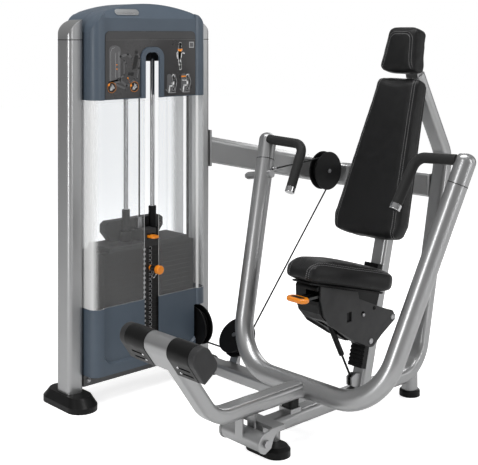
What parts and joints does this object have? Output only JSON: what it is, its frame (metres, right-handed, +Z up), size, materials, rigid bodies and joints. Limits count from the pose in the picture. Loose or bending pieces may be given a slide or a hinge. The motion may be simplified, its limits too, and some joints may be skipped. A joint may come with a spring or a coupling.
{
  "type": "chest press machine",
  "caption": "Selectorised chest press: enclosed weight stack tower, low-pivot pressing yoke with foot pedal, inclined adjustable seat and fixed padded back rest.",
  "frame": {"origin": "centre of the front foot's sole, on the floor", "axes": "+Z up, +Y towards the back of the machine, +X towards the seated user's left hand"},
  "size_m": [1.4322, 1.4738, 1.498],
  "materials": {
    "slate_plastic": "moulded, fine grain",
    "clear_screen": "translucent frosted",
    "placard_print": "printed pictograms without words",
    "badge_silver": "plain brushed pill",
    "frame_paint": "fine metallic clear-coated paint",
    "dark_paint": "satin powder coat",
    "black_plastic": "moulded, fine grain",
    "orange_plastic": "smooth moulded",
    "black_rubber": "matte",
    "grip_rubber": "soft ribbed sleeve",
    "polished_steel": "polished",
    "brushed_steel": "brushed",
    "plate_iron": "painted, white marks beside the pin holes",
    "wheel_plastic": "turned nylon",
    "cable_jacket": "smooth plastic over steel wire",
    "upholstery": "fine-grained, grey double stitching"
  },
  "bodies": {
    "frame": {"tower_feet": "black_rubber", "tower_columns": "frame_paint", "column_caps": "frame_paint", "base_crossmember": "dark_paint", "top_crossmember": "dark_paint", "front_shroud_upper": "slate_plastic", "front_window": "clear_screen", "front_shroud_lower": "slate_plastic", "rear_shroud_lower": "slate_plastic", "rear_window": "clear_screen", "rear_shroud_upper": "slate_plastic", "placard": "placard_print", "badge": "badge_silver", "guide_rods": "polished_steel", "stack_bumpers": "black_rubber", "plates_resting": "plate_iron", "pulley_guards": "black_plastic", "pulley_axles": "brushed_steel", "cable_main_run": "cable_jacket", "cable_arm_run": "cable_jacket", "cable_stack_run": "cable_jacket", "main_frame": "frame_paint", "front_foot": "black_rubber", "rear_foot": "black_rubber", "base_beam": "frame_paint", "upper_beam": "frame_paint", "stop_bumper": "black_rubber", "pivot_bolt": "brushed_steel", "rack_strip": "black_plastic", "back_pad": "upholstery", "head_pad": "upholstery", "pad_boards": "black_plastic"},
    "weight_stack": {"plates_selected": "plate_iron", "head_plate": "dark_paint", "head_bushings": "black_plastic", "selector_stem": "brushed_steel", "add_on_weight": "dark_paint"},
    "selector_pin": {"selector_pin": "orange_plastic"},
    "add_on_lever": {"add_on_lever": "orange_plastic"},
    "press_arm": {"press_yoke": "frame_paint", "handle_caps": "frame_paint", "grips": "grip_rubber", "grip_end_caps": "polished_steel", "pedal_saddle": "frame_paint", "pedal_pads": "black_rubber", "pedal_end_caps": "dark_paint"},
    "beam_wheel": {"beam_pulley": "wheel_plastic"},
    "base_wheel": {"base_pulley": "wheel_plastic"},
    "tower_wheel": {"tower_pulley": "wheel_plastic"},
    "top_rear_wheel": {"top_pulley_rear": "wheel_plastic"},
    "top_front_wheel": {"top_pulley_front": "wheel_plastic"},
    "seat": {"seat_carriage": "black_plastic", "seat_side_plates": "dark_paint", "seat_roller": "black_plastic", "strut_pin": "brushed_steel", "seat_pad": "upholstery", "seat_pan": "black_plastic"},
    "seat_lever": {"seat_lever": "orange_plastic"},
    "gas_cylinder": {"gas_cylinder": "dark_paint"},
    "gas_rod": {"gas_rod": "dark_paint"}
  },
  "joints": [
    {"name": "press_pivot", "type": "hinge", "parent": "frame", "child": "press_arm", "pos_m": [0, -0.103, 0.08], "axis": [1, 0, 0], "range_deg": [0, 28]},
    {"name": "stack_lift", "type": "slide", "parent": "frame", "child": "weight_stack", "axis": [0, 0, 1], "range_m": [0, 0.456], "deforming": ["cable_stack_run"]},
    {"name": "pin_pull", "type": "slide", "parent": "weight_stack", "child": "selector_pin", "axis": [1, 0, 0], "range_m": [0, 0.09]},
    {"name": "add_on_slide", "type": "slide", "parent": "weight_stack", "child": "add_on_lever", "axis": [1, 0, 0], "range_m": [0, 0.012]},
    {"name": "beam_wheel_spin", "type": "hinge", "parent": "frame", "child": "beam_wheel", "pos_m": [-0.475, 0.808, 0.806], "axis": [1, 0, 0], "range_deg": [0, 476]},
    {"name": "base_wheel_spin", "type": "hinge", "parent": "frame", "child": "base_wheel", "pos_m": [-0.53, 0.352, 0.185], "axis": [0, -0.7617, 0.6479], "range_deg": [0, 476]},
    {"name": "tower_wheel_spin", "type": "hinge", "parent": "frame", "child": "tower_wheel", "pos_m": [-0.734, 0.31637, 0.19811], "axis": [0, -1, 0], "range_deg": [0, 476]},
    {"name": "top_rear_wheel_spin", "type": "hinge", "parent": "frame", "child": "top_rear_wheel", "pos_m": [-0.789, 0.26137, 1.385], "axis": [-1, 0, 0], "range_deg": [0, 476]},
    {"name": "top_front_wheel_spin", "type": "hinge", "parent": "frame", "child": "top_front_wheel", "pos_m": [-0.789, 0.122, 1.385], "axis": [-1, 0, 0], "range_deg": [0, 476]},
    {"name": "seat_height", "type": "slide", "parent": "frame", "child": "seat", "axis": [0, 0.2588, 0.9659], "range_m": [-0.06, 0.05]},
    {"name": "seat_release", "type": "hinge", "parent": "seat", "child": "seat_lever", "pos_m": [0, 0.205, 0.486], "axis": [1, 0, 0], "range_deg": [-10, 0]},
    {"name": "strut_swing", "type": "hinge", "parent": "seat", "child": "gas_cylinder", "pos_m": [0, 0.265, 0.432], "axis": [1, 0, 0], "range_deg": [-8, 8]},
    {"name": "strut_stroke", "type": "slide", "parent": "gas_cylinder", "child": "gas_rod", "axis": [0, 0.4707, -0.8823], "range_m": [-0.05, 0.04]}
  ],
  "couplings": [
    {"joint": "stack_lift", "follows": "press_pivot", "m_per_rad": 0.9326},
    {"joint": "beam_wheel_spin", "follows": "press_pivot", "ratio": 16.956},
    {"joint": "base_wheel_spin", "follows": "press_pivot", "ratio": 16.956},
    {"joint": "tower_wheel_spin", "follows": "press_pivot", "ratio": 16.956},
    {"joint": "top_rear_wheel_spin", "follows": "press_pivot", "ratio": 16.956},
    {"joint": "top_front_wheel_spin", "follows": "press_pivot", "ratio": 16.956},
    {"joint": "strut_swing", "follows": "seat_height", "rad_per_m": -2.102},
    {"joint": "strut_stroke", "follows": "seat_height", "ratio": 0.717}
  ]
}
